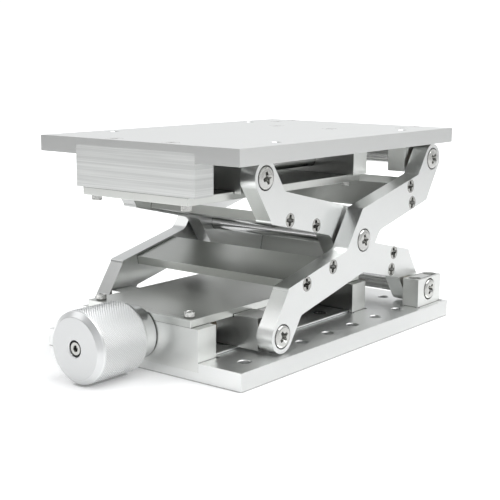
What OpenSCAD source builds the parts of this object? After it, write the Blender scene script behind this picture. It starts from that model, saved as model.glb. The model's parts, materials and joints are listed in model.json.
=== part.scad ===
// Scissor lab jack: a base plate and a platform joined by two pairs of
// crossed Z-shaped arms. A knob turns a lead screw, which draws a slide block
// along the base and folds or opens the arms.
//
// Frame: millimetres, origin at the centre of the base plate's underside,
// +Z up, Y along the long side with the knob towards -Y, X across.

/* [Plates] */
// Length of the base and of the platform, along Y
plate_l = 210; // [205:1:230]
// Width of the base and of the platform, along X
plate_w = 140; // [140:1:150]
// Thickness of the base plate
base_t = 9.6; // [9:0.1:12]
// Thickness of the platform plate
top_t = 8.7; // [8.5:0.1:12]
// How far the platform sits towards the knob end
top_shift = 2.0; // [0:0.5:3]
// Height of the platform's top face above the table
height = 119.3; // [100:0.1:135]
// Edge distance of the outer mounting holes, across the plate
hole_edge = 12; // [10:0.5:13]
// Pitch of the mounting hole grid
hole_pitch = 25; // [25:1:26]
// Clearance hole diameter in the base
base_hole_d = 6.6; // [5.5:0.1:7]
// Tapped hole diameter in the platform
top_hole_d = 5.1; // [4.2:0.1:6]

/* [Arms] */
// Distance between the two end pivots of one arm
arm_len = 173.4; // [172:0.1:175]
// Thickness of an arm
arm_t = 10; // [9.5:0.5:10.5]
// Width of each straight bar of the arm
bar_w = 18.35; // [16:0.05:20]
// Angle between the bars and the line through the end pivots
bar_angle = 15.1; // [14.5:0.1:16]
// Radius of the rounded arm ends
end_r = 9; // [8:0.1:9.3]
// Distance of each pivot from the face of its plate
pivot_h = 9.7; // [9.5:0.1:11]
// Distance of the fixed pivots behind the middle of the base
pivot_y = 87.9; // [86:0.1:90]
// Gap between neighbouring arms, filled by the flanges of the pivot bushes
lane_gap = 1.6; // [1.4:0.1:1.8]

/* [Slides] */
// Half width of the end blocks
block_hw = 42; // [40:0.5:42]
// Thickness of the end blocks, along Y
block_t = 14.1; // [12:0.1:15]
// Height of the end blocks above the plate's face
block_h = 17.4; // [16:0.1:18]
// Depth of the pockets that locate the end blocks
pocket_d = 4.9; // [3:0.1:5]
// Front face of the rear end block
rear_block_y = 36.9; // [34:0.1:38]
// Half width of the cover plate
cover_hw = 37.2; // [35:0.1:38]
// Thickness of the cover plate
cover_t = 4.2; // [3:0.1:4.5]
// Length of the slide block ahead of its pivot
slide_f = 5.9; // [5:0.1:6]
// Length of the slide block behind its pivot
slide_r = 10.1; // [9:0.1:16]
// Diameter of the guide rods
rod_d = 8; // [6:0.5:8]
// Guide rod distance from the middle, in the base
rod_x = 20; // [19:0.5:22]
// Guide rod distance from the middle, under the platform
top_rod_x = 10.5; // [9:0.5:11]
// Diameter of the lead screw
screw_d = 8; // [8:0.5:8.5]

/* [Knob] */
// Diameter of the knob
knob_d = 38; // [30:1:38]
// Distance of the knob's front face from the base's front edge
knob_reach = 44.5; // [35:0.5:50]
// Length of the thin hub behind the grip
hub_l = 11; // [8:0.5:14]
// Diameter of the hub
hub_d = 28.6; // [22:0.2:30]

/* [Hidden] */
$fn = 64;
e = 0.01;

// Heights and the pose of the scissor.
z_low = base_t + pivot_h;
z_high = height - top_t - pivot_h;
z_roof = height - top_t;
lift = z_high - z_low;
theta = asin(lift / arm_len);
slide_y = pivot_y - arm_len * cos(theta);
mid_y = (pivot_y + slide_y) / 2;
mid_z = (z_low + z_high) / 2;
half_l = arm_len / 2;
front_y = -plate_l / 2;

// Lanes across the jack, on the +X side.
inner_x = block_hw + lane_gap;
outer_x = inner_x + arm_t + lane_gap;
bracket_t = 11;
bracket_l = 28;
bracket_sink = 2;
guide_hw = 39.5;
guide_z = base_t + 1.2;
slide_z0 = base_t + 1.3;
slide_z1 = base_t + block_h - 0.3;
ear_z1 = base_t + block_h + 1.2;
ear_x0 = cover_hw + 0.4;
rear_block_y1 = rear_block_y + block_t + 0.1;
cover_y1 = rear_block_y1;

// Pivot hardware.
shoulder_r = 4;
bush_r = 5.5;
flange_r = 6.5;
head_r = 6.2;
cbore_r = 6.7;
cbore_d = 2.6;
thread_r = 2.95;
tap_r = 3;
long_thread = 19;
shaft_r = 4.75;

// Cross plates, in the arm's bar coordinates: s along the bar, n across it.
plate_t = 5;
rear_t = 12;
front_s = [-61.5, -28.3];
front_n = 0.25 - 3.9;
rear_s = 55.45;
rear_n = [0.9, 17.0];
csk_in = 4.1;
front_screws = [-57.4, -32.3];
rear_screws = [3.6, 14.0];

anod = [0.80, 0.81, 0.82];
anod_dark = [0.70, 0.71, 0.72];
steel = [0.72, 0.71, 0.69];
rod_c = [0.78, 0.79, 0.80];
brass_c = [0.78, 0.64, 0.38];

// ---------------------------------------------------------------- helpers

module tube(r, ri, h) {
  difference() {
    cylinder(r = r, h = h);
    translate([0, 0, -1]) cylinder(r = ri, h = h + 2);
  }
}

// Points of a rounded corner at b, between a and c.
function rounded(a, b, c, r, n = 5) =
  let (u = (a - b) / norm(a - b), v = (c - b) / norm(c - b),
       half = acos(u * v) / 2,
       d = r / tan(half),
       m = (u + v) / norm(u + v),
       o = b + m * r / sin(half),
       p = b + u * d - o, q = b + v * d - o,
       a0 = atan2(p[1], p[0]),
       turn = atan2(p[0] * q[1] - p[1] * q[0], p * q))
  [for (i = [0:n]) o + r * [cos(a0 + turn * i / n), sin(a0 + turn * i / n)]];

// Point of the bar coordinates (s, n) in the arm's own frame, whose x axis
// runs from the lower pivot to the upper one and whose origin is the middle.
function bar(s, n) = [s * cos(bar_angle) + n * sin(bar_angle),
                      -s * sin(bar_angle) + n * cos(bar_angle)];

// Tangent point on the end circle seen from p, on the side given by sgn.
function tangent(p, sgn) =
  let (c = [half_l, 0], d = p - c, l = norm(d), r = end_r - 0.03,
       a = atan2(d[1], d[0]) + sgn * acos(r / l))
  c + r * [cos(a), sin(a)];

// Outline of one arm, upper half first: the shape is its own half-turn copy.
arm_corner = [bar(-73.9, 0.25), bar(-17.4, 0.25), bar(2.1, bar_w - 0.25),
              bar(65.6, bar_w - 0.25)];
heel = -arm_corner[0];
half_outline = concat(
  rounded(-tangent(heel, -1), arm_corner[0], arm_corner[1], 1.5),
  rounded(arm_corner[0], arm_corner[1], arm_corner[2], 6, 6),
  rounded(arm_corner[1], arm_corner[2], arm_corner[3], 1.5),
  rounded(arm_corner[2], arm_corner[3], tangent(arm_corner[3], -1), 3),
  [tangent(arm_corner[3], -1), [half_l, 0], tangent(heel, 1)]);
arm_outline = concat(half_outline, [for (p = half_outline) -p]);

// Slot cross for a screwdriver, cut downwards from z = 0.
module cross_recess(w, d) {
  for (a = [0, 90]) rotate([0, 0, a])
    translate([-w / 2, -w * 0.105, -d]) cube([w, w * 0.21, d + 5]);
  translate([0, 0, -d]) cylinder(r1 = w * 0.13, r2 = w * 0.28, h = d + 0.02);
}

// Domed pan head standing on z = 0.
module pan_head(r, h) {
  rotate_extrude()
    polygon(concat([[0, 0], [r - 0.3, 0], [r, 0.3]],
      [for (a = [0:15:75]) [r - 1.7 + 1.7 * cos(a), h - 1.9 + 1.7 * sin(a)]],
      [[0, h]]));
}

// Pivot screw along +X. The shoulder starts at x = 0, on the inner member's
// face, and the head stands beyond it.
module pivot_screw(shoulder, thread = 8.8) {
  rotate([0, 90, 0]) difference() {
    union() {
      translate([0, 0, -thread]) cylinder(r = thread_r, h = thread + e);
      cylinder(r = shoulder_r, h = shoulder + e);
      translate([0, 0, shoulder]) pan_head(head_r, 3.7);
    }
    translate([0, 0, shoulder + 3.7]) rotate([0, 0, 12]) cross_recess(6.4, 2.3);
  }
}

// Flanged plain bush along +X: the flange fills the gap between the members.
module pivot_bush(l) {
  rotate([0, 90, 0]) {
    difference() {
      union() {
        cylinder(r = bush_r, h = l);
        translate([0, 0, -lane_gap + 0.05]) cylinder(r = flange_r, h = lane_gap - 0.05);
      }
      translate([0, 0, -2]) cylinder(r = shoulder_r + 0.05, h = l + 4);
    }
  }
}

// Seat for a pivot bush and head in the outer member, which spans x = 0..t.
module pivot_seat(t) {
  translate([-1, 0, 0]) rotate([0, 90, 0]) cylinder(r = bush_r, h = t + 2);
  translate([t - cbore_d, 0, 0]) rotate([0, 90, 0]) cylinder(r = cbore_r, h = 5);
}

// Countersunk screw pointing down, its head flush with z = 0.
module csk_screw(r, hr, l, rec) {
  hh = hr - r;
  difference() {
    union() {
      translate([0, 0, -l]) cylinder(r = r, h = l - hh + e);
      translate([0, 0, -hh - 0.35]) cylinder(r1 = r, r2 = hr, h = hh);
      translate([0, 0, -0.35 - e]) cylinder(r = hr, h = 0.35 + e);
    }
    if (rec > 0) cross_recess(rec, hh * 0.8);
  }
}

// Countersunk hole pointing down from z = 0.
module csk_hole(r, hr, l) {
  hh = hr - r;
  translate([0, 0, -l]) cylinder(r = r, h = l + 1);
  translate([0, 0, -hh - 0.4]) cylinder(r1 = r, r2 = hr + 0.1, h = hh + 0.1);
  translate([0, 0, -0.31]) cylinder(r = hr + 0.1, h = 2);
}

// Socket head screw pointing down, its head standing on z = 0.
module cap_screw(r, l, hr, hh, hex) {
  difference() {
    union() {
      translate([0, 0, -l]) cylinder(r = r, h = l + e);
      rotate_extrude() polygon([[0, 0], [hr, 0], [hr, hh - 0.4], [hr - 0.4, hh], [0, hh]]);
    }
    translate([0, 0, hh * 0.45]) cylinder(r = hex / sqrt(3), h = hh, $fn = 6);
  }
}

module both_sides() {
  children();
  mirror([1, 0, 0]) children();
}

// Turns the lower stage's shape into the upper stage's.
module upper() {
  translate([0, 0, base_t + z_roof]) mirror([0, 0, 1]) children();
}

// Places an arm-frame shape (x along the pivots, y across) in the jack.
module arm_place(up) {
  translate([0, mid_y, mid_z]) rotate([up * theta, 0, 0])
    mirror([0, 0, up > 0 ? 0 : 1]) rotate([90, 0, 90]) children();
}

// ---------------------------------------------------------------- plates

// Pocket with relieved corners: a box whose listed corners get a drilled hole.
module pocket(x0, x1, y0, y1, z, corners) {
  translate([x0, y0, z]) cube([x1 - x0, y1 - y0, 20]);
  for (c = corners) translate([c[0], c[1], z]) cylinder(r = 1.5, h = 20, $fn = 32);
}

// Every pocket of one plate, cut into the face at z = face. The front of the
// plate is at y0, brackets sit at by0 and span bx0..bx1.
module plate_pockets(face, y0, dy, bx0, bx1) {
  w = block_hw + 0.05;
  y1 = y0 + block_t + 0.05;
  y2 = rear_block_y - 0.05 + dy;
  y3 = rear_block_y1 + 0.05 + dy;
  pocket(-w, w, y0 - 5, y1, face - pocket_d, [[-w, y1 + 0.7], [w, y1 + 0.7]]);
  pocket(-w, w, y2, y3, face - pocket_d, [[-w, y2], [w, y2], [-w, y3], [w, y3]]);
  translate([-guide_hw - 0.05, y1 - 2, face - pocket_d])
    cube([2 * guide_hw + 0.1, y2 - y1 + 4, 20]);
  for (s = [-1, 1]) {
    a = min(s * bx0, s * bx1) - 0.05;
    b = max(s * bx0, s * bx1) + 0.05;
    c = pivot_y - bracket_l / 2 - 0.05;
    d = pivot_y + bracket_l / 2 + 0.05;
    pocket(a, b, c, d, face - bracket_sink, [[a, c], [b, c], [a, d], [b, d]]);
  }
}

block_screw_x = 20;
guide_screws = [[-30, -70], [30, -70], [-30, 20], [30, 20]];
bracket_screw_dy = 9.3;
base_bracket_x0 = outer_x;
base_bracket_x1 = outer_x + bracket_t;
top_bracket_x0 = block_hw;
top_bracket_x1 = inner_x + arm_t;

module base_plate() {
  hx = plate_w / 2 - hole_edge;
  color(anod) difference() {
    translate([-plate_w / 2, -plate_l / 2, 0]) cube([plate_w, plate_l, base_t]);
    plate_pockets(base_t, front_y, 0, base_bracket_x0, base_bracket_x1);
    for (x = [-hx, hx], k = [-3.5:1:3.5]) if (k < 3)
      translate([x, k * hole_pitch, -1]) {
        cylinder(d = base_hole_d, h = base_t + 2);
        translate([0, 0, base_t + 0.5]) cylinder(d1 = base_hole_d, d2 = base_hole_d + 1.6, h = 0.8);
      }
    for (x = [-hx + hole_pitch, hx - hole_pitch])
      translate([x, 3.5 * hole_pitch, -1]) {
        cylinder(d = base_hole_d, h = base_t + 2);
        translate([0, 0, base_t + 0.5]) cylinder(d1 = base_hole_d, d2 = base_hole_d + 1.6, h = 0.8);
      }
    for (x = [-block_screw_x, block_screw_x], y = [front_y + 7, rear_block_y + 7])
      translate([x, y, 0]) rotate([180, 0, 0]) csk_hole(2.6, 4.6, 12);
    for (p = guide_screws) translate([p[0], p[1], 1]) cylinder(r = 1.95, h = 20);
    both_sides() for (s = [-1, 1])
      translate([(base_bracket_x0 + base_bracket_x1) / 2, pivot_y + s * bracket_screw_dy, 1.6])
        cylinder(r = 1.95, h = 20);
  }
}

module platform_plate() {
  hx = plate_w / 2 - hole_edge;
  color(anod) difference() {
    translate([-plate_w / 2, -plate_l / 2 - top_shift, z_roof]) cube([plate_w, plate_l, top_t]);
    upper() plate_pockets(base_t, front_y - top_shift, -top_shift, top_bracket_x0, top_bracket_x1);
    for (x = [-hx, hx], y = [-2.5 * hole_pitch, 2.5 * hole_pitch])
      translate([x, y, z_roof - 1]) {
        cylinder(d = top_hole_d, h = top_t + 2);
        translate([0, 0, top_t + 0.5]) cylinder(d1 = top_hole_d, d2 = top_hole_d + 1.4, h = 0.7);
      }
    for (x = [-block_screw_x, block_screw_x], y = [front_y + 7, rear_block_y + 7])
      translate([x, y - top_shift, height]) csk_hole(2.6, 4.6, 12);
    translate([0, -top_shift, 0]) upper()
      for (p = guide_screws) translate([p[0], p[1], 2]) cylinder(r = 1.95, h = 20);
    both_sides() for (s = [-1, 1])
      translate([(top_bracket_x0 + top_bracket_x1) / 2, pivot_y + s * bracket_screw_dy, height])
        csk_hole(2.1, 3.8, 12);
  }
}

// ---------------------------------------------------------------- stages

// Guide plate let into the base: the slide block runs over it.
module guide_shape() {
  y0 = front_y + block_t + 0.1;
  difference() {
    translate([-guide_hw, y0, base_t - pocket_d])
      cube([2 * guide_hw, rear_block_y - 0.1 - y0, guide_z - base_t + pocket_d]);
    for (p = guide_screws) translate([p[0], p[1], guide_z]) csk_hole(2.1, 3.8, 12);
  }
}

// End block. side = -1 front, 1 rear; through = bore radius for the screw.
module block_shape(y0, t, rod_side, through) {
  rx = through > 0 ? rod_x : top_rod_x;
  difference() {
    translate([-block_hw, y0, base_t - pocket_d])
      cube([2 * block_hw, t, block_h + pocket_d]);
    for (x = [-rx, rx])
      translate([x, rod_side < 0 ? y0 + 3 : y0 - 1, z_low]) rotate([-90, 0, 0])
        cylinder(d = rod_d, h = t - 2);
    if (through > 0) translate([0, y0 - 1, z_low]) rotate([-90, 0, 0])
      cylinder(r = through, h = t + 2);
    for (x = [-block_screw_x, block_screw_x])
      translate([x, rod_side < 0 ? y0 + 7 : y0 + 7, base_t - pocket_d - 1]) cylinder(r = 2.45, h = 8.5);
    for (x = [-32, 32])
      translate([x, rod_side < 0 ? y0 + 5 : y0 + t - 7, base_t + block_h - 9]) cylinder(r = 1.5, h = 12);
  }
}

module front_block_shape(bush) {
  difference() {
    block_shape(front_y, block_t, -1, bush);
    if (bush > 0) translate([0, front_y + block_t - 2, z_low]) rotate([-90, 0, 0])
      cylinder(r = 7, h = 5);
  }
}

module rear_block_shape(bush) {
  block_shape(rear_block_y, block_t + 0.1, 1, bush);
}

cover_screws = [[-32, front_y + 5], [32, front_y + 5],
                [-32, rear_block_y + block_t - 6.9], [32, rear_block_y + block_t - 6.9]];

module cover_shape() {
  difference() {
    translate([-cover_hw, front_y, base_t + block_h])
      cube([2 * cover_hw, cover_y1 - front_y, cover_t]);
    for (p = cover_screws) translate([p[0], p[1], base_t + block_h - 1])
      cylinder(r = 1.65, h = cover_t + 2);
  }
}

module cover_screw_shape() {
  for (p = cover_screws) translate([p[0], p[1], base_t + block_h + cover_t])
    cap_screw(1.45, 11, 2.75, 3, 2.5);
}

module rods_shape(rx) {
  for (x = [-rx, rx])
    translate([x, front_y + 3.2, z_low]) rotate([-90, 0, 0])
      cylinder(d = rod_d, h = rear_block_y + block_t - 3.4 - front_y - 3.2);
}

// Slide block: hw is its half width, screw the bore for the nut, or 0.
module slide_shape(hw, nut) {
  rx = nut > 0 ? rod_x : top_rod_x;
  y0 = slide_y - slide_f;
  l = slide_f + slide_r;
  difference() {
    union() {
      translate([-hw, y0, slide_z0]) cube([2 * hw, l, slide_z1 - slide_z0]);
      both_sides() translate([ear_x0, y0, slide_z0])
        cube([hw - ear_x0, l, ear_z1 - slide_z0]);
    }
    for (x = [-rx, rx]) translate([x, y0 - 1, z_low]) rotate([-90, 0, 0])
      cylinder(r = rod_d / 2 + 2, h = l + 2);
    if (nut > 0) {
      translate([0, y0 - 1, z_low]) rotate([-90, 0, 0]) cylinder(r = nut, h = l + 2);
      for (x = [-9.5, 9.5]) translate([x, y0 + l - 7, z_low]) rotate([-90, 0, 0])
        cylinder(r = 1.45, h = 9);
    }
    both_sides() translate([hw - 9.5, slide_y, z_low]) rotate([0, 90, 0])
      cylinder(r = tap_r, h = 12);
  }
}

module rod_bush_shape(rx) {
  for (x = [-rx, rx])
    translate([x, slide_y - slide_f, z_low]) rotate([-90, 0, 0])
      tube(rod_d / 2 + 2, rod_d / 2 + 0.05, slide_f + slide_r);
}

module lower_guide_plate() { color(anod) guide_shape(); }
module upper_guide_plate() { color(anod) translate([0, -top_shift, 0]) upper() guide_shape(); }
module lower_front_block() { color(anod) front_block_shape(5); }
module lower_rear_block() { color(anod) rear_block_shape(5); }
module upper_front_block() { color(anod) translate([0, -top_shift, 0]) upper() front_block_shape(0); }
module upper_rear_block() { color(anod) translate([0, -top_shift, 0]) upper() rear_block_shape(0); }
module lower_cover_plate() { color(anod_dark) cover_shape(); }
module upper_cover_plate() { color(anod_dark) translate([0, -top_shift, 0]) upper() cover_shape(); }
module lower_cover_screws() { color(steel) cover_screw_shape(); }
module upper_cover_screws() { color(steel) translate([0, -top_shift, 0]) upper() cover_screw_shape(); }
module lower_guide_rods() { color(rod_c) rods_shape(rod_x); }
module upper_guide_rods() { color(rod_c) translate([0, -top_shift, 0]) upper() rods_shape(top_rod_x); }
module lower_slide_block() { color(anod) slide_shape(inner_x + arm_t, 6); }
module upper_slide_block() { color(anod) upper() slide_shape(block_hw, 0); }
module lower_rod_bushes() { color(brass_c) rod_bush_shape(rod_x); }
module upper_rod_bushes() { color(brass_c) upper() rod_bush_shape(top_rod_x); }

module lower_block_screws() {
  color(steel) for (x = [-block_screw_x, block_screw_x], y = [front_y + 7, rear_block_y + 7])
    translate([x, y, 0]) rotate([180, 0, 0]) csk_screw(2.4, 4.6, 12, 4.6);
}
module upper_block_screws() {
  color(steel) for (x = [-block_screw_x, block_screw_x], y = [front_y + 7, rear_block_y + 7])
    translate([x, y - top_shift, height]) csk_screw(2.4, 4.6, 11, 4.6);
}
module lower_guide_screws() {
  color(steel) for (p = guide_screws)
    translate([p[0], p[1], guide_z]) csk_screw(1.9, 3.8, 9.4, 3.8);
}
module upper_guide_screws() {
  color(steel) translate([0, -top_shift, 0]) upper() for (p = guide_screws)
    translate([p[0], p[1], guide_z]) csk_screw(1.9, 3.8, 8.4, 3.8);
}

// ---------------------------------------------------------------- brackets

// Bracket on the +X side: the outer member for the base pivots.
module base_bracket() {
  t = bracket_t;
  difference() {
    translate([base_bracket_x0, pivot_y - bracket_l / 2, base_t - bracket_sink])
      cube([t, bracket_l, block_h + bracket_sink]);
    translate([base_bracket_x0, pivot_y, z_low]) pivot_seat(t);
    for (s = [-1, 1]) translate([base_bracket_x0 + t / 2, pivot_y + s * bracket_screw_dy, 0]) {
      cylinder(r = 2.1, h = 40);
      translate([0, 0, base_t + block_h - 5.4]) cylinder(r = 4, h = 10);
    }
  }
}

// Bracket under the platform on the +X side: the inner member.
module platform_bracket() {
  t = top_bracket_x1 - top_bracket_x0;
  difference() {
    translate([top_bracket_x0, pivot_y - bracket_l / 2, z_roof - block_h])
      cube([t, bracket_l, block_h + bracket_sink]);
    translate([top_bracket_x0 - 1, pivot_y, z_high]) rotate([0, 90, 0]) cylinder(r = tap_r, h = t + 2);
    for (s = [-1, 1]) translate([top_bracket_x0 + t / 2, pivot_y + s * bracket_screw_dy, z_roof - 9])
      cylinder(r = 1.95, h = 20);
  }
}

module base_bracket_right() { color(anod) base_bracket(); }
module base_bracket_left() { color(anod) mirror([1, 0, 0]) base_bracket(); }
module platform_bracket_right() { color(anod) platform_bracket(); }
module platform_bracket_left() { color(anod) mirror([1, 0, 0]) platform_bracket(); }

module base_bracket_bushes() {
  color(brass_c) both_sides() translate([base_bracket_x0, pivot_y, z_low])
    pivot_bush(bracket_t - cbore_d);
}
module base_bracket_screws() {
  color(steel) both_sides() for (s = [-1, 1])
    translate([base_bracket_x0 + bracket_t / 2, pivot_y + s * bracket_screw_dy, base_t + block_h - 5.4])
      cap_screw(1.9, 19, 3.5, 4, 3);
}
module platform_bracket_screws() {
  color(steel) both_sides() for (s = [-1, 1])
    translate([(top_bracket_x0 + top_bracket_x1) / 2, pivot_y + s * bracket_screw_dy, height])
      csk_screw(1.9, 3.8, 15, 3.8);
}

// ---------------------------------------------------------------- arms

// One arm in its own frame, 0..arm_t thick, outer face up.
module arm_blank() {
  linear_extrude(arm_t) polygon(arm_outline);
  for (s = [-1, 1]) translate([s * half_l, 0, 0]) cylinder(r = end_r, h = arm_t, $fn = 96);
}

// Screw holes for the cross plates, countersunk in the outer face.
module arm_screw_holes() {
  for (s = front_screws) translate(concat(bar(s, front_n), [arm_t])) csk_hole(csk_in / 2, 3.9, 14);
  for (n = rear_screws) translate(concat(bar(rear_s, n), [arm_t])) csk_hole(csk_in / 2, 3.9, 14);
}

module arm_seat(x) {
  translate([x, 0, -1]) cylinder(r = bush_r, h = arm_t + 2);
  translate([x, 0, arm_t - cbore_d]) cylinder(r = cbore_r, h = 5);
}

module outer_arm(s) {
  color(anod) arm_place(1) scale([1, 1, s]) translate([0, 0, outer_x]) difference() {
    arm_blank();
    arm_screw_holes();
    for (x = [-half_l, 0, half_l]) arm_seat(x);
  }
}

module inner_arm(s) {
  color(anod) arm_place(-1) scale([1, 1, s]) translate([0, 0, inner_x]) difference() {
    arm_blank();
    arm_screw_holes();
    arm_seat(-half_l);
    for (x = [0, half_l]) translate([x, 0, -1]) cylinder(r = tap_r, h = arm_t + 2);
  }
}

// Cross plates of a pair whose inner faces are hw from the middle.
module front_cross(hw) {
  difference() {
    rotate([0, 0, -bar_angle])
      translate([front_s[0], front_n - plate_t / 2, -hw])
        cube([front_s[1] - front_s[0], plate_t, 2 * hw]);
    for (s = front_screws, k = [-1, 1])
      translate(concat(bar(s, front_n), [k * hw - 12])) cylinder(r = 1.95, h = 24);
  }
}
module rear_cross(hw) {
  difference() {
    rotate([0, 0, -bar_angle])
      translate([rear_s - rear_t / 2, rear_n[0], -hw])
        cube([rear_t, rear_n[1] - rear_n[0], 2 * hw]);
    for (n = rear_screws, k = [-1, 1])
      translate(concat(bar(rear_s, n), [k * hw - 12])) cylinder(r = 1.95, h = 24);
  }
}
module cross_screws(x) {
  for (k = [-1, 1]) scale([1, 1, k]) {
    for (s = front_screws) translate(concat(bar(s, front_n), [x])) csk_screw(1.9, 3.9, 20, 5);
    for (n = rear_screws) translate(concat(bar(rear_s, n), [x])) csk_screw(1.9, 3.9, 20, 5);
  }
}

module outer_arm_right() { outer_arm(1); }
module outer_arm_left() { outer_arm(-1); }
module inner_arm_right() { inner_arm(1); }
module inner_arm_left() { inner_arm(-1); }
module outer_front_cross_plate() { color(anod_dark) arm_place(1) front_cross(outer_x); }
module outer_rear_cross_plate() { color(anod_dark) arm_place(1) rear_cross(outer_x); }
module inner_front_cross_plate() { color(anod_dark) arm_place(-1) front_cross(inner_x); }
module inner_rear_cross_plate() { color(anod_dark) arm_place(-1) rear_cross(inner_x); }
module outer_cross_plate_screws() { color(steel) arm_place(1) cross_screws(outer_x + arm_t); }
module inner_cross_plate_screws() { color(steel) arm_place(-1) cross_screws(inner_x + arm_t); }

module outer_arm_bushes() {
  color(brass_c) both_sides()
    for (p = [[slide_y, z_low], [mid_y, mid_z], [pivot_y, z_high]])
      translate([outer_x, p[0], p[1]]) pivot_bush(arm_t - cbore_d);
}
module inner_arm_bushes() {
  color(brass_c) both_sides() translate([inner_x, slide_y, z_high]) pivot_bush(arm_t - cbore_d);
}

arm_shoulder = lane_gap + arm_t - cbore_d + 0.05;
bracket_shoulder = lane_gap + bracket_t - cbore_d + 0.05;
module lower_slide_pivots() {
  color(steel) both_sides() translate([inner_x + arm_t, slide_y, z_low]) pivot_screw(arm_shoulder);
}
module centre_pivots() {
  color(steel) both_sides() translate([inner_x + arm_t, mid_y, mid_z])
    pivot_screw(arm_shoulder, long_thread);
}
module platform_pivots() {
  color(steel) both_sides() translate([top_bracket_x1, pivot_y, z_high])
    pivot_screw(arm_shoulder, long_thread);
}
module upper_slide_pivots() {
  color(steel) both_sides() translate([block_hw, slide_y, z_high]) pivot_screw(arm_shoulder);
}
module base_pivots() {
  color(steel) both_sides() translate([inner_x + arm_t, pivot_y, z_low])
    pivot_screw(bracket_shoulder, long_thread);
}

// Round bar across the jack, tapped at both ends for the long pivot screws.
module cross_shaft(hw, y, z) {
  color(rod_c) translate([-hw, y, z]) rotate([0, 90, 0]) difference() {
    cylinder(r = shaft_r, h = 2 * hw);
    translate([0, 0, -1]) cylinder(r = tap_r, h = 11);
    translate([0, 0, 2 * hw - 10]) cylinder(r = tap_r, h = 11);
  }
}
module centre_shaft() { cross_shaft(inner_x, mid_y, mid_z); }
module base_shaft() { cross_shaft(inner_x, pivot_y, z_low); }
module platform_shaft() { cross_shaft(top_bracket_x0, pivot_y, z_high); }

// ---------------------------------------------------------------- drive

journal_r = 3;
screw_y0 = front_y + block_t + 0.05;
screw_y1 = rear_block_y - 0.1;
knob_y0 = front_y - knob_reach;

module along_y(y) { translate([0, y, z_low]) rotate([-90, 0, 0]) children(); }

module lead_screw() {
  color(steel) difference() {
    union() {
      along_y(knob_y0 + 7.5) cylinder(r = journal_r, h = screw_y0 - knob_y0 - 7.5 + e);
      along_y(screw_y0) cylinder(d = screw_d, h = screw_y1 - screw_y0);
      along_y(screw_y1 - e) cylinder(r = journal_r, h = 12);
    }
    along_y(knob_y0 + 7) cylinder(r = 1.95, h = 11);
  }
}

module knob() {
  r = knob_d / 2;
  y1 = knob_reach - hub_l;
  color(anod) along_y(knob_y0) rotate_extrude($fn = 128) difference() {
    polygon([[0, 0], [r - 3, 0], [r, 2.5], [r, y1 - 1], [r - 0.8, y1], [hub_d / 2, y1],
             [hub_d / 2, knob_reach - 1], [hub_d / 2 - 0.5, knob_reach - 0.5], [0, knob_reach - 0.5]]);
    translate([-1, 7.5]) square([1 + journal_r, knob_reach]);
    translate([-1, -1]) square([5.3, 5.5]);
    translate([-1, 3]) square([3.2, 6]);
  }
}

module knob_screw() {
  color(steel) along_y(knob_y0 + 4.5) mirror([0, 0, 1]) cap_screw(1.9, 12, 3.5, 4, 3);
}

module front_screw_bush() {
  color(brass_c) along_y(front_y + 0.2) difference() {
    union() {
      cylinder(r = 5, h = block_t - 0.2);
      translate([0, 0, block_t - 2.2]) cylinder(r = 7, h = 2);
    }
    translate([0, 0, -1]) cylinder(r = journal_r + 0.05, h = block_t + 5);
  }
}
module rear_screw_bush() {
  color(brass_c) along_y(rear_block_y) tube(5, journal_r + 0.05, block_t - 1);
}

module lead_nut() {
  y = slide_y + slide_r;
  color(brass_c) difference() {
    union() {
      along_y(slide_y - slide_f + 0.2) cylinder(r = 6, h = slide_f + slide_r - 0.2 + e);
      intersection() {
        translate([-14, y, slide_z0 + 0.2]) cube([28, 3.5, slide_z1 - slide_z0 - 0.4]);
        along_y(y) cylinder(r = 13.6, h = 3.5);
      }
    }
    along_y(slide_y - 30) cylinder(d = screw_d + 0.1, h = 60);
    for (x = [-9.5, 9.5]) translate([x, y - 1, z_low]) rotate([-90, 0, 0]) cylinder(r = 1.6, h = 9);
  }
}
module lead_nut_screws() {
  color(steel) for (x = [-9.5, 9.5]) translate([x, slide_y + slide_r + 3.5, z_low])
    rotate([-90, 0, 0]) cap_screw(1.4, 9, 2.75, 3, 2.5);
}

base_plate();
lower_guide_plate();
lower_front_block();
lower_rear_block();
lower_guide_rods();
front_screw_bush();
rear_screw_bush();
lower_cover_plate();
lower_cover_screws();
base_bracket_right();
base_bracket_left();
base_bracket_bushes();
base_bracket_screws();
lower_block_screws();
lower_guide_screws();
lead_screw();
knob();
knob_screw();
lower_slide_block();
lead_nut();
lead_nut_screws();
lower_rod_bushes();
lower_slide_pivots();
outer_arm_right();
outer_arm_left();
outer_front_cross_plate();
outer_rear_cross_plate();
outer_cross_plate_screws();
outer_arm_bushes();
inner_arm_right();
inner_arm_left();
inner_front_cross_plate();
inner_rear_cross_plate();
inner_cross_plate_screws();
inner_arm_bushes();
centre_pivots();
base_pivots();
centre_shaft();
base_shaft();
upper_slide_block();
upper_rod_bushes();
upper_slide_pivots();
platform_plate();
upper_guide_plate();
upper_front_block();
upper_rear_block();
upper_guide_rods();
upper_cover_plate();
upper_cover_screws();
platform_bracket_right();
platform_bracket_left();
platform_shaft();
platform_pivots();
platform_bracket_screws();
upper_block_screws();
upper_guide_screws();
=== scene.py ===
import json
import math

import bmesh
import bpy
from mathutils import Matrix, Vector


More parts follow.
